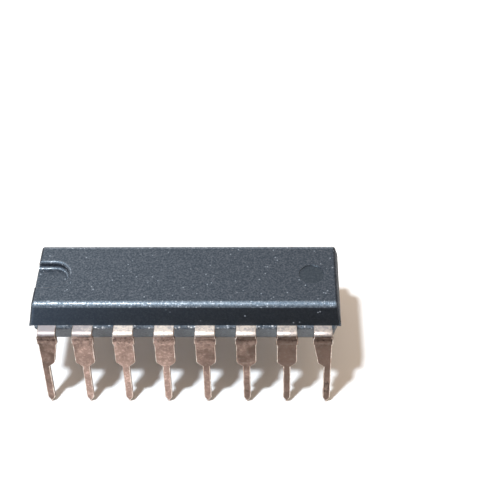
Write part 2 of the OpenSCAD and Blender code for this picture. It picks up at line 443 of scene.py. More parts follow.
class Tarnish(Effect):
    """Blotches and dark specks of a tarnished metal, with fine lines along the strip."""

    name = "tarnish"
    scalars = {"Blotches per mm": 1.5, "Specks per mm": 5.0, "Speck cover": 0.4}
    results = ("Blotch", "Speck", "Brush", "Ragged")
    blotched: Span = (0.36, 0.64)
    no_speck: float = 0.78
    speck_edge: Span = (0.0, 0.12)
    lines_per_mm: Place = (30.0, 4.0, 1.5)

    def draw(self, sheet: Sheet, given: Outputs, place: Socket) -> dict:
        """Draws broad and small noise, and noise drawn out along the strip, as Effect.draw says."""
        broad = sheet.add("TexNoise", {"Vector": place, "Scale": given["Blotches per mm"], "Detail": 4.0,
                                       "Roughness": 0.6, "Distortion": 0.6}).outputs[0]
        small = sheet.add("TexNoise", {"Vector": place, "Scale": given["Specks per mm"], "Detail": 3.0,
                                       "Roughness": 0.7}).outputs[0]
        edge = sheet.math("SUBTRACT", self.no_speck, given["Speck cover"], clamp=False)
        over = sheet.math("SUBTRACT", small, edge, clamp=False)
        along = sheet.add("VectorMath", {0: place, 1: self.lines_per_mm}, operation="MULTIPLY").outputs[0]
        lines = sheet.add("TexNoise", {"Vector": along, "Scale": 1.0, "Detail": 2.0}).outputs[0]
        return {
            "Blotch": sheet.ramp(broad, self.blotched),
            "Speck": sheet.ramp(over, self.speck_edge),
            "Brush": lines,
            "Ragged": small,
        }


class Finish:
    """A material of one Principled shader, with its pattern from an effect."""

    name: str

    def build(self, effect: Effect) -> Material:
        """Builds the material.

        Args:
            effect: The grain or the tarnish.

        Returns:
            The material.
        """
        material, sheet = new_material(self.name)
        shader = sheet.add("BsdfPrincipled", self.surface(sheet, effect))
        sheet.add("OutputMaterial", {0: shader.outputs[0]})
        return material

    def surface(self, sheet: Sheet, effect: Effect) -> dict:
        """Draws the surface.

        Args:
            sheet: The material's sheet.
            effect: The grain or the tarnish.

        Returns:
            The shader's inputs, by name.
        """
        raise NotImplementedError


@dataclass(frozen=True)
class Resin(Finish):
    """Moulded epoxy with a sparkling grain and painted glints, bright specks painted into its colour.
    Its depth is in millimetres.
    """

    name: str
    dark: Colour
    light: Colour
    # Colour of the painted glints: rare bright specks painted in to stand for sparkle.
    painted_glint: Colour
    glint_share: float
    roughness: float
    depth: float
    cells: float = 8.0
    specular: float = 0.92
    ior: float = 1.5
    # Painted cool light: a blue tint laid on the resin's specular reflection.
    painted_cool_tint: Colour = (0.59, 0.79, 1.0)
    sparkle: float = 0.75
    sparkle_power: float = 2.0
    sparkle_roughness: float = 0.28
    sparkle_ior: float = 2.0
    glint_polish: float = 0.55

    def surface(self, sheet: Sheet, effect: Effect) -> dict:
        """Draws speckled resin with painted glints and sparkling facets, as Finish.surface says."""
        fine = effect.put(sheet, Cells_per_mm=self.cells, Glint_share=self.glint_share)
        colour = sheet.blend(fine["Speckle"], self.dark, self.light)
        polished = self.roughness * self.glint_polish
        bump = sheet.add("Bump", {"Height": fine["Height"], "Distance": self.depth * MM, "Strength": 1.0})
        facets = sheet.math("POWER", fine["Speckle"], self.sparkle_power)
        return {
            # Painted highlight: the glint cells are painted the bright glint colour.
            "Base Color": sheet.blend(fine["Glint"], colour, self.painted_glint),
            "Roughness": sheet.ramp(fine["Glint"], WHOLE, (self.roughness, polished)),
            "Normal": bump.outputs[0],
            "Coat Weight": sheet.math("MULTIPLY", facets, self.sparkle),
            "Coat Roughness": self.sparkle_roughness,
            "Coat IOR": self.sparkle_ior,
            "Specular IOR Level": self.specular,
            # The blue specular tint paints cool light into the reflections.
            "Specular Tint": self.painted_cool_tint,
            "IOR": self.ior,
        }


@dataclass(frozen=True)
class LeadMetal(Finish):
    """Thinly tinned copper strip: pale on the shoulders, tarnished down the legs, and with a painted
    highlight on the copper that is brightest round lead 3.

    A mark runs from a height over the tips, or a place or distance along the row, where it isn't
    seen to one where it is full, in millimetres. Its third value, if any, is its share there.
    """

    name: str = "tarnished_lead"
    tin: Colour = (0.89, 0.76, 0.65)
    tin_darker: Colour = (0.42, 0.37, 0.37)
    copper: Colour = (0.78, 0.55, 0.465)
    taupe: Colour = (0.165, 0.12, 0.095)
    speck: Colour = (0.13, 0.07, 0.055)
    soot: Colour = (0.022, 0.016, 0.014)
    metallic: float = 0.75
    roughness: Span = (0.34, 0.54)
    brush_depth: float = 0.004
    brush_strength: float = 0.6
    rag: float = 0.06
    rag_noise: Span = (0.3, 0.7)
    tinned: Span = (5.68, 5.78)
    nib: Span = (0.12, 0.06)
    # Painted highlight: the copper is brightest round this place along the row (lead 3) and fades over the
    # reach that bright gives.
    painted_highlight_at: float = -3.8
    bright: Mark = (10.0, 2.0, 0.7)
    bright_thin: Mark = (3.3, 2.7, 0.1)
    bright_upper: Mark = (4.5, 5.5, 0.05)
    dull_end: Mark = (-7.0, -8.6, 0.2)
    dull_blotch: float = 0.3
    speck_cover: float = 0.45
    under_bend: Span = (4.95, 5.2)
    under_bend_noise: Span = (0.54, 0.64)
    ring_foot: Span = (0.75, 0.95)
    ring_top: Span = (1.95, 1.75)
    ring_leg: Span = (8.3, 8.5)
    ring_noise: Span = (0.44, 0.56)
    soot_cover: float = 0.65
    tin_noise: Span = (0.44, 0.62)
    stain_noise: float = 0.6
    stain_blotch: float = 0.3
    tin_darker_left: Mark = (-4.0, -8.2, 1.0)
    tin_darker_right: Mark = (4.0, 8.6, 0.35)

    def surface(self, sheet: Sheet, effect: Effect) -> dict:
        """Draws the copper and its tarnish, with the tin over them, as Finish.surface says."""
        fine = effect.put(sheet)
        ragged = fine["Ragged"]
        along, _, height = sheet.add("SeparateXYZ", {0: sheet.add("TexCoord").outputs["Object"]}).outputs
        rag = sheet.ramp(ragged, self.rag_noise, (-self.rag * MM, self.rag * MM))
        edge = sheet.math("ADD", height, rag, clamp=False)
        offset = sheet.math("SUBTRACT", along, self.painted_highlight_at * MM, clamp=False)
        offset = sheet.math("ABSOLUTE", offset, clamp=False)
        # Painted highlight along the row from the near lamp, with tone by height: brightest round lead 3,
        # thin and upper legs a little brighter, darker at lead 1's end and in blotches.
        bright = sheet.chain("ADD", sheet.mark(offset, *self.bright),
                             sheet.mark(height, *self.bright_thin), sheet.mark(edge, *self.bright_upper))
        bright = sheet.chain("SUBTRACT", bright, sheet.mark(along, *self.dull_end),
                             sheet.math("MULTIPLY", fine["Blotch"], self.dull_blotch))
        # The tin darkens in noise and blotches, and towards both ends of the row, most at the left end.
        tin_darkening = sheet.chain("ADD", sheet.ramp(ragged, self.tin_noise, (0.0, self.stain_noise)),
                            sheet.math("MULTIPLY", fine["Blotch"], self.stain_blotch),
                            sheet.mark(along, *self.tin_darker_left), sheet.mark(along, *self.tin_darker_right))
        layers = (
            (sheet.math("MULTIPLY", fine["Speck"], self.speck_cover), self.speck),
            (self.sooty(sheet, ragged, along, height), self.soot),
            (sheet.mark(edge, *self.tinned), sheet.blend(tin_darkening, self.tin, self.tin_darker)),
            (sheet.mark(height, *self.nib), self.speck),
        )
        # Copper where the painted highlight and tone are bright, taupe tarnish elsewhere.
        colour = sheet.blend(bright, self.taupe, self.copper)
        for cover, layer in layers:
            colour = sheet.blend(cover, colour, layer)
        bump = sheet.add("Bump", {"Height": fine["Brush"], "Distance": self.brush_depth * MM,
                                  "Strength": self.brush_strength})
        return {
            "Base Color": colour,
            "Roughness": sheet.ramp(fine["Blotch"], WHOLE, self.roughness),
            "Normal": bump.outputs[0],
            "Metallic": self.metallic,
        }

    def sooty(self, sheet: Sheet, ragged: Socket, along: Socket, height: Socket) -> Socket:
        """Finds where soot lies: in specks under the bends, and in rings round the last leg.

        Args:
            sheet: The material's sheet.
            ragged: The tarnish's small noise.
            along: Place along the row.
            height: Height over the tips.

        Returns:
            A socket from 0 to the soot's cover.
        """
        under = sheet.math("MULTIPLY", sheet.mark(height, *self.under_bend),
                           sheet.ramp(ragged, self.under_bend_noise))
        ring = sheet.chain("MULTIPLY", sheet.mark(height, *self.ring_foot),
                           sheet.mark(height, *self.ring_top), sheet.mark(along, *self.ring_leg),
                           sheet.ramp(ragged, self.ring_noise))
        return sheet.math("MULTIPLY", sheet.math("MAXIMUM", under, ring), self.soot_cover)


@dataclass(frozen=True)
class BurnishedEdge(Finish):
    """Bright metal where the stamping die has rolled the leads' edges."""

    name: str = "burnished_edge"
    bright: Colour = (0.9, 0.82, 0.74)
    worn: Colour = (0.5, 0.36, 0.29)
    roughness: Span = (0.3, 0.5)
    blotches: float = 2.0

    def surface(self, sheet: Sheet, effect: Effect) -> dict:
        """Draws bright metal with worn blotches, as Finish.surface says."""
        fine = effect.put(sheet, Blotches_per_mm=self.blotches)
        colour = sheet.blend(fine["Blotch"], self.bright, self.worn)
        rough = sheet.ramp(fine["Speck"], WHOLE, self.roughness)
        return {"Base Color": colour, "Roughness": rough, "Metallic": 1.0}


@dataclass(frozen=True)
class InnerFinish(Finish):
    """Plain finish of a piece sealed in the resin, with a light grain."""

    name: str
    colour: Colour
    metallic: float
    roughness: float
    cells: float = 20.0
    shade: float = 0.8
    rougher: float = 0.1

    def surface(self, sheet: Sheet, effect: Effect) -> dict:
        """Draws a plain colour with darker, rougher speckles, as Finish.surface says."""
        speckle = effect.put(sheet, Cells_per_mm=self.cells)["Speckle"]
        shaded = tuple(self.shade * c for c in self.colour)
        colour = sheet.blend(speckle, self.colour, shaded)
        rough = sheet.ramp(speckle, WHOLE, (self.roughness, self.roughness + self.rougher))
        return {"Base Color": colour, "Roughness": rough, "Metallic": self.metallic}


# The resin colours lean slightly blue: a painted cool cast of the light, not the epoxy's own colour.
AREA_FINISHES = {
    Area.GRAINED: Resin("grained_resin", (0.004, 0.0045, 0.007), (0.034, 0.036, 0.046),
                        (0.34, 0.39, 0.46), glint_share=0.025, roughness=0.4, depth=0.005),
    Area.SMOOTH: Resin("smooth_resin", (0.012, 0.014, 0.018), (0.022, 0.025, 0.03),
                       (0.1, 0.11, 0.12), glint_share=0.02, roughness=0.42, depth=0.003,
                       specular=0.76, sparkle=0.3),
    # Painted highlight: lighter colours and dense bright glints along the rounded edges, on a glossier
    # resin.
    Area.ROUNDED: Resin("rounded_edge_painted_highlight", (0.01, 0.012, 0.016), (0.1, 0.11, 0.13),
                        (0.5, 0.55, 0.62), glint_share=0.22, roughness=0.46, depth=0.035,
                        specular=1.0, ior=1.68, sparkle=1.1),
    Area.LOWER: Resin("lower_resin", (0.012, 0.013, 0.016), (0.03, 0.032, 0.038),
                      (0.1, 0.11, 0.12), glint_share=0.03, roughness=0.36, depth=0.003,
                      specular=1.0, ior=1.6, painted_cool_tint=(0.76, 0.88, 1.0), sparkle=0.4),
    Area.MATT: Resin("matt_end_resin", (0.004, 0.0045, 0.007), (0.03, 0.032, 0.04),
                     (0.2, 0.22, 0.25), glint_share=0.02, roughness=0.7, depth=0.005,
                     specular=0.5, ior=1.45, sparkle=0.2),
    # Painted shade: the sides' colours are darker than the top's resin.
    Area.SIDE: Resin("side_painted_shade_resin", (0.002, 0.002, 0.0028), (0.008, 0.0078, 0.0095),
                     (0.34, 0.38, 0.44), glint_share=0.012, roughness=0.4, depth=0.004,
                     specular=1.0, ior=1.72, painted_cool_tint=(0.7, 0.84, 1.0), sparkle=0.5),
}
# Flash: pale broken resin, with dense near-white glints painted on as a highlight along its ragged edge.
BROKEN_RESIN_AND_HIGHLIGHT = Resin("broken_resin_painted_highlight", (0.03, 0.036, 0.045), (0.13, 0.145, 0.17),
                     (0.75, 0.77, 0.8), glint_share=0.6, roughness=0.5, depth=0.02, cells=5.0)
INNER_FINISHES = {
    "die_attach": InnerFinish("silver_epoxy", (0.6, 0.6, 0.57), metallic=0.4, roughness=0.5),
    "die": InnerFinish("silicon", (0.2, 0.22, 0.26), metallic=0.5, roughness=0.15),
    "bond_wire": InnerFinish("gold", (0.95, 0.68, 0.25), metallic=1.0, roughness=0.25),
}


@dataclass(frozen=True)
class Pocket:
    """A recess with a rounded rim and foot, in millimetres."""

    centre: Span
    radius: float
    depth: float
    rounding: float
    floor_area: Area = Area.GRAINED
    rim_area: Area = Area.GRAINED
    run_out: float = 0.0
    sides: int = 96
    arc_steps: int = 6
    rim_tilt: float = 0.05

    def profile(self) -> Profile:
        """Works out the wall's section.

        Returns:
            Points as (height over the floor, radius), floor first, with a step past the rim.
        """
        steps = [math.pi / 2 * i / self.arc_steps for i in range(self.arc_steps + 1)]
        foot = [(self.rounding * (1 - math.cos(a)), self.radius - self.rounding * (1 - math.sin(a)))
                for a in steps]
        rim = [(self.depth - self.rounding + self.rounding * math.sin(a),
                self.radius + self.rounding * (1 - math.cos(a))) for a in steps]
        return foot + rim + [(self.depth + self.rounding, self.radius + self.rounding)]

    def cutter(self, face: float, up: float, finishes: Sequence[Material]) -> Piece:
        """Models the solid that cuts this recess.

        Args:
            face: Height of the face that is cut.
            up: 1 for a recess in the top, -1 for one in the underside.
            finishes: The body's materials, in the order of its slots.

        Returns:
            The cutter.
        """
        wall = self.profile()
        floor = face - up * self.depth
        x, y = self.centre
        Bench.clear()
        bpy.ops.mesh.primitive_circle_add(vertices=self.sides, radius=wall[0][1], fill_type="NGON",
                                          location=(x, y, floor))
        tool = bpy.context.object
        Bench.settle()
        if self.run_out:
            Bench.pick(tool, Part.VERT, lambda v: v.co.x < x - NEAR)
            Bench.move((-self.run_out, 0, 0))
        Bench.pick(tool, Part.FACE, lambda f: True)
        for (low, inner), (high, outer) in zip(wall, wall[1:]):
            Bench.extrude((0, 0, up * (high - low)))
            Bench.stretch((outer / inner, outer / inner, 1), (x, y, floor + up * high))
        Bench.face_outwards(tool)
        Bench.coat(tool, *finishes)
        for cut in tool.data.polygons:
            tilt = abs(cut.normal.z)
            if tilt > LEVEL:
                cut.material_index = self.floor_area
            elif tilt > self.rim_tilt and cut.normal.y > 0:
                cut.material_index = self.rim_area
        return tool


@dataclass
class ResinBody:
    """The moulded body with its notch and round marks, in millimetres and degrees.

    An inset is the distance of a mark's centre from the end of the body. The sides' finish, painted
    darker than the top as painted shade, starts side_drop edge roundings under the flat face, and
    end_tilt is the least share along X of an end's normal.
    """

    length: float
    top: float
    bottom: float
    parting: float = 5.9
    width: float = 6.25
    step: float = 0.1
    upper_draft: float = 25.0
    lower_draft: float = 13.0
    end_draft: float = 10.0
    edge_round: float = 0.42
    end_round: float = 0.2
    corner_round: float = 0.2
    segments: int = 6
    side_drop: float = 1.2
    end_tilt: float = 0.3
    notch_radius: float = 1.04
    notch_length: float = 2.02
    notch_depth: float = 0.5
    notch_round: float = 0.16
    mark_depth: float = 0.06
    mark_round: float = 0.02
    dimple_radius: float = 0.785
    dimple_inset: float = 1.78
    ejector_radius: float = 1.49
    ejector_inset: float = 3.21
    web_reach: float = 0.2
    web_height: float = 0.25
    finishes: tuple[Material, ...] = ()

    def _half(self, name: str, inset: float, height: float, draft: float,
              areas: Sequence[Area]) -> Piece:
        """Models one drafted half, standing on the parting plane at zero.

        Args:
            name: Name of the piece.
            inset: How far it stands back all round, at the parting plane.
            height: Its height.
            draft: Draft of the long sides.
            areas: The areas of its flat face, rounded edges, long sides and ends.

        Returns:
            The half with its rounded edges.
        """
        length, width = self.length - 2 * inset, self.width - 2 * inset
        flat_area, edge_area, side_area, end_area = areas
        half = Bench.box(name, (-length / 2, -width / 2, 0), (length / 2, width / 2, height))
        Bench.coat(half, *self.finishes)
        for face in half.data.polygons:
            face.material_index = flat_area
        along = 1 - 2 * height * math.tan(math.radians(self.end_draft)) / length
        across = 1 - 2 * height * math.tan(math.radians(draft)) / width
        Bench.pick(half, Part.FACE, lambda f: f.normal.z > FACING)
        Bench.stretch((along, across, 1), (0, 0, height))
        Bench.clear()
        side = self.edge_round * math.tan(math.radians(90 - draft) / 2)
        end = self.end_round * math.tan(math.radians(90 - self.end_draft) / 2)

        def share(edge: bmesh.types.BMEdge) -> float:
            """Works out an edge's share of the widest bevel.

            Args:
                edge: An edge of the half.

            Returns:
                Its share, from 0 to 1.
            """
            a, b = (v.co for v in edge.verts)
            if abs(a.z - b.z) > height / 2:
                return self.corner_round / side
            if min(a.z, b.z) < height / 2:
                return 0.0
            return 1.0 if abs(a.x - b.x) > width / 2 + height else end / side

        Bench.weigh(half, share)
        Bench.modify(half, "BEVEL", width=side, segments=self.segments, limit_method="WEIGHT",
                     offset_type="OFFSET", use_clamp_overlap=False, material=edge_area)
        for face in half.data.polygons:
            across, along = abs(face.normal.y), abs(face.normal.x)
            if along > max(across, self.end_tilt):
                face.material_index = end_area
            # The long sides below the rounded edges take side_area, on the upper half the painted-shade
            # finish.
            elif face.center.z < height - self.side_drop * self.edge_round:
                face.material_index = side_area
            elif along > across:
                face.material_index = flat_area
        return half

    def _webs(self, gaps: Sequence[Span]) -> Piece:
        """Models the webs of resin between the leads, along both sides.

        Args:
            gaps: Start and end of each gap along X.

        Returns:
            All webs as one object.
        """
        reach = self.width / 2 - self.step + self.web_reach
        root = self.width / 2 - 3 * self.step
        webs = []
        for side in (-1, 1):
            for start, end in gaps:
                y = sorted((side * root, side * reach))
                low = (start, y[0], self.parting - self.web_height)
                webs.append(Bench.box("web", low, (end, y[1], self.parting)))
        return Bench.join("webs", webs)

    def _cut_marks(self, body: Piece) -> None:
        """Cuts the notch and the dimple in the top and the ejector marks in the underside.

        Args:
            body: The joined body.
        """
        end = self.length / 2
        top_end = end - (self.top - self.parting) * math.tan(math.radians(self.end_draft))
        # The notch's rim takes the rounded edges' painted highlight.
        notch = Pocket((self.notch_length - self.notch_radius - top_end, 0), self.notch_radius,
                       self.notch_depth, self.notch_round, rim_area=Area.ROUNDED,
                       run_out=2 * self.notch_length)
        cuts = [(notch, self.top, 1)]
        marks = [(end - self.dimple_inset, self.dimple_radius, self.top, 1)]
        marks += [(side * (end - self.ejector_inset), self.ejector_radius, self.bottom, -1)
                  for side in (-1, 1)]
        for x, radius, face, up in marks:
            cuts.append((Pocket((x, 0), radius, self.mark_depth, self.mark_round, Area.SMOOTH), face, up))
        for pocket, face, up in cuts:
            Bench.combine(body, pocket.cutter(face, up, self.finishes), "DIFFERENCE")

    def model(self, gaps: Sequence[Span]) -> Piece:
        """Models the whole body.

        Args:
            gaps: Start and end of each gap between leads, along X.

        Returns:
            The body, in millimetres.
        """
        body = self._half("resin_body", 0.0, self.top - self.parting, self.upper_draft,
                          (Area.GRAINED, Area.ROUNDED, Area.SIDE, Area.MATT))
        lower = self._half("lower_half", self.step, self.parting - self.bottom, self.lower_draft,
                           [Area.LOWER] * 4)
        for half, flip in ((body, 1), (lower, -1)):
            Bench.hold(half)
            half.scale.z = flip
            half.location.z = self.parting
            Bench.settle()
            Bench.face_outwards(half)
        Bench.combine(lower, self._webs(gaps), "UNION")
        Bench.combine(body, lower, "UNION")
        self._cut_marks(body)
        Bench.face_outwards(body)
        return body


@dataclass
class Flash:
    """Ragged flash along the parting line between the leads, in millimetres.

    The spans of a corner's flash are insets from the body's end and side, and heights over the
    parting line.
    """

    parting: float
    inner: float
    end: float
    reach: float = 0.22
    rag: float = 0.07
    thickness: float = 0.09
    lap: float = 0.01
    pitch: float = 0.09
    corner_along: Span = (0.22, 0.005)
    corner_across: Span = (0.2, -0.025)
    corner_height: Span = (-0.05, 0.03)
    seed: int = 4

    def _strip(self, gap: Span, side: int, seed: int) -> Piece:
        """Models the flash of one gap.

        Args:
            gap: Where the gap starts and ends along X.
            side: -1 or 1, the side of the body.
            seed: Seed of the ragged edge.

        Returns:
            The strip.
        """
        start, end = gap
        y = sorted((side * self.inner, side * (self.inner + self.reach)))
        low = (start, y[0], self.parting - self.thickness)
        strip = Bench.box("flash", low, (end, y[1], self.parting + self.lap))
        Bench.pick(strip, Part.EDGE, lambda e: abs(e.verts[0].co.x - e.verts[1].co.x) > self.thickness)
        bpy.ops.mesh.subdivide(number_cuts=max(2, round((end - start) / self.pitch)))
        Bench.pick(strip, Part.VERT, lambda v: abs(v.co.y) > self.inner + self.reach / 2)
        bpy.ops.transform.vertex_random(offset=self.rag, seed=seed)
        Bench.clear()
        return strip

    def model(self, name: str, gaps: Sequence[Span], side: int) -> Piece:
        """Models the flash of one side.

        Args:
            name: Name of the piece.
            gaps: Start and end of each gap along X.
            side: -1 or 1, the side of the body.

        Returns:
            The flash, in millimetres.
        """
        strips = [self._strip(gap, side, self.seed + i) for i, gap in enumerate(gaps)]
        z = [self.parting + height for height in self.corner_height]
        y = sorted(side * (self.inner - inset) for inset in self.corner_across)
        for end in (-1, 1):
            x = sorted(end * (self.end - inset) for inset in self.corner_along)
            strips.append(Bench.box("corner_flash", (x[0], y[0], z[0]), (x[1], y[1], z[1])))
        flash = Bench.join(name, strips)
        Bench.face_outwards(flash)
        return flash


@dataclass
class LeadRow:
    """The formed leads, in millimetres and degrees, modelled in the +X +Y quarter.

    The finger ends are places in that quarter, from the middle of the body. An elbow is given from
    its finger's end, in finger steps.
    """

    leads: int = 8
    pitch: float = 2.54
    thickness: float = 0.25
    height: float = 5.9
    body_width: float = 6.25
    shoulder: float = 1.25
    run: float = 0.43
    bend_radius: float = 0.1
    bend_steps: int = 12
    splay: float = 7.0
    stub_reach: float = 0.06
    stub_height: float = 0.5
    stub_top: float = 0.04
    stub_slope: float = 0.02
    leg_width: float = 0.46
    leg_length: float = 3.17
    neck_round: float = 0.3
    neck_angle: float = 50.0
    neck_steps: int = 6
    tip_length: float = 0.38
    nib: float = 0.11
    end_inner: float = 0.88
    end_inner_low: float = 0.64
    end_outer: float = 0.25
    anchor: float = 0.55
    finger_width: float = 0.28
    finger_step: float = 0.45
    finger_ends: tuple[Span, ...] = ((0.8, 1.5), (1.77, 1.5), (1.9, 0.885), (1.9, 0.435))
    elbows: tuple[Span, ...] = ((0.0, 0.8), (1.2, 0.7), (3.3, 0.0), (8.0, 0.0))
    die_roll: float = 0.05
    roll_steps: int = 3
    finishes: tuple[Material, ...] = ()

    @property
    def bend_y(self) -> float:
        """Distance of the bend's axis from the middle of the body."""
        return self.body_width / 2 + self.run

    @property
    def bend_z(self) -> float:
        """Height of the bend's axis."""
        return self.height - self.bend_radius - self.thickness

    @property
    def lean(self) -> float:
        """The splay in radians."""
        return math.radians(self.splay)

    @property
    def leg_reach(self) -> float:
        """Length of the leg from the bend's axis to its tip, along its slope."""
        return (self.bend_z + self.bend_radius * math.sin(self.lean)) / math.cos(self.lean)

    def is_end(self, j: int) -> bool:
        """Says whether lead j of the quarter is the one at the body's end."""
        return j == self.leads // 2 - 1

    def middle(self, j: int) -> float:
        """Place of lead j of the quarter along X."""
        return (j + 0.5) * self.pitch

    def reaches(self, j: int) -> Span:
        """Reach of lead j towards the middle of the body and towards its end, at the shoulder."""
        half = self.shoulder / 2
        return (self.end_inner, self.end_outer) if self.is_end(j) else (half, half)

    def gaps(self) -> list[Span]:
        """Finds the gaps between the leads.

        Returns:
            Where each gap starts and ends along X.
        """
        edges = []
        for column in range(self.leads):
            offset = column - (self.leads - 1) / 2
            inner, outer = self.reaches(int(abs(offset) - 0.5))
            low, high = (inner, outer) if offset > 0 else (outer, inner)
            middle = offset * self.pitch
            edges += [middle - low, middle + high]
        return list(zip(edges[1:-1:2], edges[2::2]))

    def _edge(self, upper: float, lower: float, straight: bool) -> Profile:
        """One edge of a leg as (run down the slope, reach from its middle).

        Args:
            upper: Reach at the shoulder.
            lower: Reach just above the thin leg.
            straight: Whether the edge runs straight to the thin leg.

        Returns:
            The edge from the bend to the tip.
        """
        thin = self.leg_width / 2
        neck = self.leg_reach - self.leg_length
        slope, stub = self.stub_slope, upper + self.stub_reach
        low = self.stub_top + self.stub_height
        edge = [(0.0, upper), (self.stub_top, upper), (self.stub_top + slope, stub), (low - slope, stub),
                (low, upper)]
        if not straight:
            angle = math.radians(self.neck_angle)
            drop = self.neck_round * math.sin(angle)
            inset = lower - self.neck_round * (1 - math.cos(angle)) - thin
            start = neck - drop - inset / math.tan(angle)
            steps = [angle * i / self.neck_steps for i in range(self.neck_steps + 1)]
            edge += [(start + self.neck_round * math.sin(a), lower - self.neck_round * (1 - math.cos(a)))
                     for a in steps]
        edge += [(neck, thin), (self.leg_reach - self.tip_length, thin),
                 (self.leg_reach - self.nib, self.nib / 2), (self.leg_reach, self.nib / 2)]
        return edge

    @staticmethod
    def _reach_at(edge: Profile, run: float) -> float:
        """Reads an edge between its points.

        Args:
            edge: The edge, as _edge gives it.
            run: A run down the leg.

        Returns:
            The edge's reach there.
        """
        for (run_a, reach_a), (run_b, reach_b) in zip(edge, edge[1:]):
            if run <= run_b:
                share = (run - run_a) / (run_b - run_a) if run_b > run_a else 1.0
                return reach_a + share * (reach_b - reach_a)
        return edge[-1][1]

    def _leg_sections(self, j: int) -> list[Place]:
        """Works out the sections of a leg from the bend to the tip.

        Args:
            j: The lead's number in the quarter.

        Returns:
            Each section as (run, reach inwards, reach outwards).
        """
        if self.is_end(j):
            inner = self._edge(self.end_inner, self.end_inner_low, False)
            outer = self._edge(self.end_outer, self.end_outer, True)
        else:
            inner = self._edge(self.shoulder / 2, self.shoulder / 2, False)
            outer = inner
        runs = sorted({round(run, 6) for run, _ in inner + outer})
        return [(run, self._reach_at(inner, run), self._reach_at(outer, run)) for run in runs]

    def _finger(self, lead: Piece, j: int) -> None:
        """Extrudes the finger inside the resin from the anchor's inner end.

        Args:
            lead: The lead, with its anchor and shoulder.
            j: Its number in the quarter.
        """
        inner, outer = self.reaches(j)
        x = self.middle(j) + (outer - inner) / 2
        y = self.body_width / 2 - self.anchor
        z = self.height - self.thickness / 2
        end = Vector(self.finger_ends[j])
        elbow = end + self.finger_step * Vector(self.elbows[j])
        Bench.pick(lead, Part.FACE, lambda f: f.normal.y < -FACING)
        Bench.extrude((0, 0, 0))
        Bench.stretch((self.finger_width / (inner + outer), 1, 1), (x, y, z))
        here = Vector((x, y))
        heading = Vector((0.0, -1.0))
        for target, after in ((elbow, end), (end, end + (end - elbow))):
            Bench.extrude((target.x - here.x, target.y - here.y, 0))
            before = (target - here).normalized()
            turned = (before + (after - target).normalized()).normalized()
            turn = math.atan2(heading.cross(turned), heading.dot(turned))
            bpy.ops.transform.rotate(value=-turn, orient_axis="Z", center_override=(target.x, target.y, z))
            here, heading = target, turned

    def _form(self, lead: Piece, j: int) -> None:
        """Bends the shoulder's outer end down and extrudes the leg.

        Args:
            lead: The lead, with its shoulder.
            j: Its number in the quarter.
        """
        x = self.middle(j)
        Bench.pick(lead, Part.FACE, lambda f: all(v.co.y > self.bend_y - NEAR for v in f.verts))
        bpy.ops.mesh.spin(steps=self.bend_steps, angle=math.radians(90 - self.splay), axis=(1, 0, 0),
                          center=(x, self.bend_y, self.bend_z))
        down = Vector((0, math.sin(self.lean), -math.cos(self.lean)))
        sections = self._leg_sections(j)
        for (run_a, in_a, out_a), (run_b, in_b, out_b) in zip(sections, sections[1:]):
            Bench.extrude(down * (run_b - run_a))
            middle_a = x + (out_a - in_a) / 2
            middle_b = x + (out_b - in_b) / 2
            at = Vector((middle_a, self.bend_y, self.bend_z)) + down * run_b
            Bench.stretch(((in_b + out_b) / (in_a + out_a), 1, 1), at)
            Bench.move((middle_b - middle_a, 0, 0))

    def _on_outer_face(self, point: Vector) -> bool:
        """Tells the outer face's points: the shoulder's top, the bend's outside and the leg's front.

        Args:
            point: A vertex of the lead.

        Returns:
            Whether it lies on that face.
        """
        y, z = point.y - self.bend_y, point.z - self.bend_z
        if y < NEAR:
            reach = z
        elif z > y * math.tan(self.lean) - NEAR:
            reach = math.hypot(y, z)
        else:
            reach = y * math.cos(self.lean) + z * math.sin(self.lean)
        return abs(reach - self.bend_radius - self.thickness) < NEAR

    def _roll_edges(self, lead: Piece) -> None:
        """Rounds the outer face's edges, as the stamping die rolls them.

        Args:
            lead: The formed lead.
        """
        def rolled(edge: bmesh.types.BMEdge) -> bool:
            """Tells the edges between the outer face and a side, outside the body.

            Args:
                edge: An edge of the lead.

            Returns:
                Whether the die rolled it.
            """
            if not all(self._on_outer_face(v.co) for v in edge.verts) or len(edge.link_faces) != 2:
                return False
            outer = [all(self._on_outer_face(v.co) for v in face.verts) for face in edge.link_faces]
            inside = max(v.co.y for v in edge.verts) < self.body_width / 2
            return outer[0] != outer[1] and not inside

        Bench.pick(lead, Part.EDGE, rolled)
        bpy.ops.mesh.bevel(offset_type="OFFSET", offset=self.die_roll, segments=self.roll_steps,
                           profile=0.5, affect="EDGES", clamp_overlap=True,
                           material=BURNISHED_SLOT)
        Bench.clear()

    def model(self, j: int) -> Piece:
        """Models lead j of the +X +Y quarter.

        Args:
            j: Its number from the middle of the body.

        Returns:
            The lead, in millimetres.
        """
        inner, outer = self.reaches(j)
        x = self.middle(j)
        low = (x - inner, self.body_width / 2 - self.anchor, self.height - self.thickness)
        lead = Bench.box(f"form_{j}", low, (x + outer, self.bend_y, self.height))
        Bench.coat(lead, *self.finishes)
        self._finger(lead, j)
        self._form(lead, j)
        Bench.face_outwards(lead)
        self._roll_edges(lead)
        return lead

    def quarter_of(self, number: int) -> tuple[int, int, int]:
        """Finds the form that a lead is copied from.

        Args:
            number: The lead's number, from 1.

        Returns:
            The form's number, and 1 or -1 for the lead's half along X and along Y.
        """
        front = number <= self.leads
        column = number - (self.leads + 1) / 2 if front else (3 * self.leads + 1) / 2 - number
        return int(abs(column) - 0.5), (1 if column > 0 else -1), (-1 if front else 1)

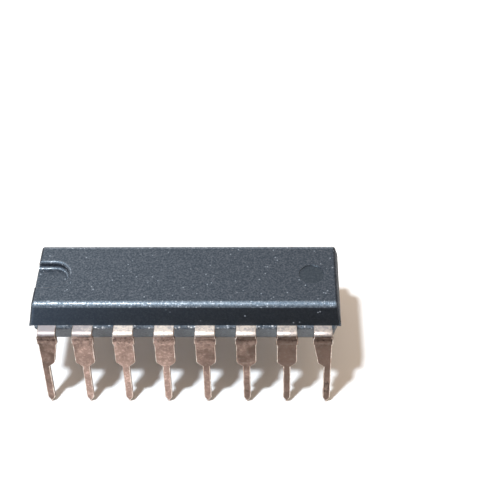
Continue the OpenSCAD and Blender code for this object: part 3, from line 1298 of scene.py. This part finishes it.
    def place_all(self) -> list[Piece]:
        """Models the four forms and copies them to all the leads.

        Returns:
            The leads in their order, in millimetres.
        """
        forms = [self.model(j) for j in range(self.leads // 2)]
        placed = []
        for number in range(1, 2 * self.leads + 1):
            j, along, across = self.quarter_of(number)
            Bench.hold(forms[j])
            bpy.ops.object.duplicate()
            lead = bpy.context.object
            lead.name = f"formed_lead_{number}"
            lead.scale = (along, across, 1)
            Bench.settle()
            Bench.face_outwards(lead)
            placed.append(lead)
        for form in forms:
            bpy.data.objects.remove(form)
        return placed


@dataclass(frozen=True)
class Lamp:
    """A lamp that faces the package: its place and width in millimetres, and its light on white."""

    name: str
    place: Place
    width: float
    level: float
    colour: Colour
    shape: str = "DISK"

    def hang(self) -> None:
        """Adds the lamp."""
        Bench.clear()
        place = Vector(self.place) * MM
        bpy.ops.object.light_add(type="AREA", location=place)
        lamp = bpy.context.object
        lamp.name = self.name
        lamp.rotation_euler = place.to_track_quat("Z", "Y").to_euler()
        lamp.data.shape = self.shape
        lamp.data.size = self.width * MM
        lamp.data.color = self.colour
        lean = place.normalized().z
        lamp.data.energy = self.level * math.pi ** 2 * place.length_squared / lean


@dataclass(frozen=True)
class Studio:
    """Floor, light and camera, with lengths in millimetres and angles in degrees.

    The room's spans are shares of a heading: behind along Y, right along X and above along Z. The
    shades and left_sky are levels from 0 to 1.
    """

    floor_size: float = 120.0
    floor_front: float = -14.0
    fade: Span = (22.0, 50.0)
    floor: Colour = (0.94, 0.95, 0.97)
    low_fill: Colour = (0.12, 0.06, 0.02)
    high_fill: Colour = (1.12, 0.91, 0.71)
    backdrop: Colour = WHITE
    behind: Span = (-0.35, 0.6)
    front_shade: float = 0.03
    above: Span = (0.35, 0.75)
    to_right: Span = (-0.6, 0.5)
    right_shade: float = 0.54
    sky: Span = (0.25, 0.7)
    sky_right: Span = (-0.3, 0.6)
    left_sky: float = 0.35
    lamps: tuple[Lamp, ...] = (
        Lamp("key_lamp", (-38.0, -37.8, 165.8), 15.0, 1.0, (0.88, 0.95, 1.0)),
        Lamp("back_softbox", (-110.0, 215.0, 180.0), 150.0, 0.04, (0.78, 0.9, 1.0), "SQUARE"),
        Lamp("left_window", (-46.0, -62.0, 14.0), 44.0, 0.027, (0.66, 0.8, 1.0), "SQUARE"),
    )
    lens: float = 78.3
    sensor: float = 36.0
    clip: Span = (1.0, 10000.0)
    camera_at: Place = (5.642, -46.693, 57.447)
    camera_drop: float = 45.803
    camera_heading: float = -1.928
    camera_roll: float = -1.436

    def lay_floor(self) -> None:
        """Lays a plain pale floor under the lead tips, which fades into the backdrop farther away."""
        Bench.clear()
        middle = (self.floor_size / 2 + self.floor_front) * MM
        bpy.ops.mesh.primitive_plane_add(size=self.floor_size * MM, location=(0, middle, 0))
        floor = bpy.context.object
        floor.name = "floor"
        Bench.settle()
        material, sheet = new_material("pale_floor")
        away = sheet.add("VectorMath", {0: sheet.add("TexCoord").outputs["Object"]}, operation="LENGTH")
        fade = sheet.mark(away.outputs["Value"], *self.fade)
        shader = sheet.add("BsdfPrincipled", {
            "Base Color": self.floor,
            "Roughness": 1.0,
            "Specular IOR Level": 0.0,
            "Emission Color": self.backdrop,
            "Emission Strength": sheet.math("MULTIPLY", fade, self.seen(sheet)),
        })
        sheet.add("OutputMaterial", {0: shader.outputs[0]})
        Bench.coat(floor, material)

    @staticmethod
    def seen(sheet: Sheet) -> Socket:
        """Tells the rays that see the backdrop as it looks from those that it lights.

        Args:
            sheet: The sheet of the floor or the room.

        Returns:
            A socket that is 1 for the first and 0 for the others.
        """
        rays = sheet.add("LightPath").outputs
        kinds = ("Camera", "Glossy", "Transmission")
        return sheet.chain("MAXIMUM", *(rays[f"Is {kind} Ray"] for kind in kinds))

    def light(self) -> None:
        """Sets the room's fill and its white backdrop, shaded to the front, and hangs the lamps."""
        world = bpy.data.worlds.new("studio")
        bpy.context.scene.world = world
        world.use_nodes = True
        sheet = Sheet(world.node_tree)
        heading = sheet.add("TexCoord").outputs["Generated"]
        right, behind, above = sheet.add("SeparateXYZ", {0: heading}).outputs
        level = sheet.ramp(behind, self.behind, (self.front_shade, 1.0))
        level = sheet.math("MAXIMUM", level, sheet.ramp(above, self.above))
        level = sheet.math("MULTIPLY", level, sheet.ramp(right, self.to_right, (1.0, self.right_shade)))
        level = sheet.math("MAXIMUM", level, sheet.add("LightPath").outputs["Is Camera Ray"])
        shaded = sheet.blend(level, BLACK, self.backdrop)
        open_sky = sheet.math("MULTIPLY", sheet.ramp(above, self.sky),
                              sheet.ramp(right, self.sky_right, (self.left_sky, 1.0)))
        fill = sheet.blend(open_sky, self.low_fill, self.high_fill)
        colour = sheet.blend(self.seen(sheet), fill, shaded)
        background = sheet.add("Background", {"Color": colour, "Strength": 1.0})
        sheet.add("OutputWorld", {0: background.outputs[0]})
        for lamp in self.lamps:
            lamp.hang()

    def shoot(self) -> None:
        """Sets the camera where the photograph was taken from."""
        Bench.clear()
        bpy.ops.object.camera_add()
        camera = bpy.context.object
        camera.name = "camera"
        turn = Matrix.Rotation(-math.radians(self.camera_heading), 4, "Z")
        turn @= Matrix.Rotation(math.pi / 2 - math.radians(self.camera_drop), 4, "X")
        turn @= Matrix.Rotation(math.radians(self.camera_roll), 4, "Z")
        camera.matrix_world = Matrix.Translation(Vector(self.camera_at) * MM) @ turn
        camera.data.lens = self.lens
        camera.data.sensor_width = self.sensor
        camera.data.clip_start, camera.data.clip_end = (MM * reach for reach in self.clip)
        camera.data.dof.use_dof = False
        scene = bpy.context.scene
        scene.camera = camera
        scene.view_settings.view_transform = "Standard"


class Package:
    """The whole package: resin body, flash, leads and the pieces sealed inside."""

    def __init__(self) -> None:
        """Builds the finishes and takes the body's sizes from the frame."""
        grain, tarnish = Grain(), Tarnish()
        resin = tuple(AREA_FINISHES[area].build(grain) for area in Area)
        self.flash_resin_and_highlight = BROKEN_RESIN_AND_HIGHLIGHT.build(grain)
        self.metal = LeadMetal().build(tarnish)
        edge = BurnishedEdge().build(tarnish)
        self.inner = {name: finish.build(grain) for name, finish in INNER_FINISHES.items()}
        low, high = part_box("package_body")
        self.row = LeadRow(finishes=(self.metal, edge))
        self.body = ResinBody((high.x - low.x) / MM, high.z / MM, low.z / MM, finishes=resin)

    def finish(self, piece: Piece, slot: Slot, crease: float, replaced: str = "") -> None:
        """Brings a piece to metres, shades it and ties it to the frame.

        Args:
            piece: The piece, in millimetres.
            slot: Not used.
            crease: Angle over which its edges stay sharp, in degrees.
            replaced: The CAD node that it stands for, if any.
        """
        Bench.to_metres(piece, crease)
        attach(piece, BODY)
        if replaced:
            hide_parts(replaced)
        log.info("%s: %d faces", piece.name, len(piece.data.polygons))

    def build_body(self) -> None:
        """Builds the resin body and its flash."""
        margin = self.body.length / 2 - 2 * self.body.corner_round
        end_edge = self.row.middle(self.row.leads // 2 - 1) + self.row.end_outer
        webs = [(-margin, -end_edge), *self.row.gaps(), (end_edge, margin)]
        self.finish(self.body.model(webs), Slot.RESIN, BODY_CREASE, "package_body")
        flash = Flash(self.body.parting, self.body.width / 2 - FLASH_SEAT, self.body.length / 2)
        for name, side in (("resin_flash_front", -1), ("resin_flash_back", 1)):
            strip = flash.model(name, webs, side)
            self.finish(strip, Slot.RESIN, FLASH_CREASE)
            # The flash wears the pale broken resin and its painted highlight.
            Bench.coat(strip, self.flash_resin_and_highlight)

    def build_leads(self) -> None:
        """Builds the leads in place of the plain ones."""
        for number, lead in enumerate(self.row.place_all(), 1):
            self.finish(lead, Slot.LEAD_FRAME, LEAD_CREASE, f"lead_{number}")

    def dress_inner(self) -> None:
        """Dresses the pieces that stay as the frame has them."""
        for name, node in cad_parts.items():
            kind = "bond_wire" if name.startswith("bond_wire") else name
            material = self.metal if name == "die_pad" else self.inner.get(kind)
            if material is not None:
                Bench.coat(node, material)
                log.info("%s: dressed", name)


def main() -> None:
    """Builds the package and its studio."""
    logging.basicConfig(level=logging.INFO, format="%(name)s: %(message)s")
    studio = Studio()
    studio.lay_floor()
    studio.light()
    studio.shoot()
    package = Package()
    package.build_body()
    package.build_leads()
    package.dress_inner()
    Bench.clear()


if __name__ == "__main__":
    main()
